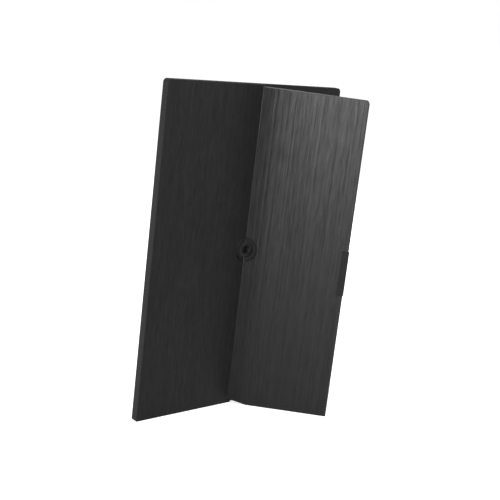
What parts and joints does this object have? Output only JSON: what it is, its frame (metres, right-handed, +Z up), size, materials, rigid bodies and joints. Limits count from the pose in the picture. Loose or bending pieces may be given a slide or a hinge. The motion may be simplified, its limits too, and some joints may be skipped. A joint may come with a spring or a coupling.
{
  "type": "portable monitor",
  "caption": "Slim flat-panel portable monitor standing on its short edge, with a half-width brushed stand flap hinged along the middle of its back and held open by friction.",
  "frame": {"origin": "middle of the short edge that the monitor stands on, at half the thickness of its body", "axes": "+X to the right as seen from behind, +Y out of the screen, +Z up along the long side and the hinge"},
  "size_m": [0.2504, 0.0962, 0.382],
  "materials": {
    "brushed_skin": "dark anodised, brushed along the long side",
    "cover_plastic": "satin moulded",
    "black_plastic": "fine matt",
    "screen_glass": "anti-glare film",
    "clear_plastic": "clear",
    "white_sheet": "matt film",
    "tray_steel": "bright sheet",
    "board": "solder mask",
    "flex_film": "polyimide film",
    "chip_black": "moulded",
    "bright_steel": "plated",
    "dark_steel": "blackened",
    "hub_zinc": "dark coated casting",
    "rubber": "matt",
    "led_white": "clear over phosphor"
  },
  "bodies": {
    "monitor": {"rear_cover": "cover_plastic", "rear_skin": "brushed_skin", "front_bezel": "black_plastic", "lcd_tray": "tray_steel", "reflector_sheet": "white_sheet", "light_guide": "clear_plastic", "optical_films": "white_sheet", "lcd_cell": "screen_glass", "led_strip": "flex_film", "backlight_leds": "led_white", "driver_flex": "flex_film", "panel_board": "board", "panel_cable": "flex_film", "main_board": "board", "board_screws": "bright_steel", "shield_can": "tray_steel", "controller_chip": "chip_black", "memory_chip": "chip_black", "power_coils": "chip_black", "cable_sockets": "white_sheet", "button_cable": "flex_film", "usb_port": "bright_steel", "usb_tongue": "chip_black", "button_board": "board", "tact_switch": "chip_black", "status_led": "led_white", "light_pipe": "clear_plastic", "hinge_hub": "hub_zinc", "hub_screws": "bright_steel", "socket_insert": "dark_steel", "friction_pins": "bright_steel", "end_pins": "bright_steel", "case_screws": "dark_steel", "edge_feet": "rubber"},
    "flap": {"flap_frame": "cover_plastic", "flap_skin": "brushed_skin", "friction_sleeves": "bright_steel", "pull_tab": "rubber"},
    "button": {"power_button": "black_plastic", "switch_plunger": "black_plastic"}
  },
  "joints": [
    {"name": "flap_hinge", "type": "hinge", "parent": "monitor", "child": "flap", "pos_m": [0.0047, -0.00265, 0.191], "axis": [0, 0, 1], "range_deg": [-24, 46]},
    {"name": "button_press", "type": "slide", "parent": "monitor", "child": "button", "axis": [0, -1, 0], "range_m": [0, 0.0004], "stiffness_N_per_m": 3000, "springref_m": -0.0002}
  ]
}
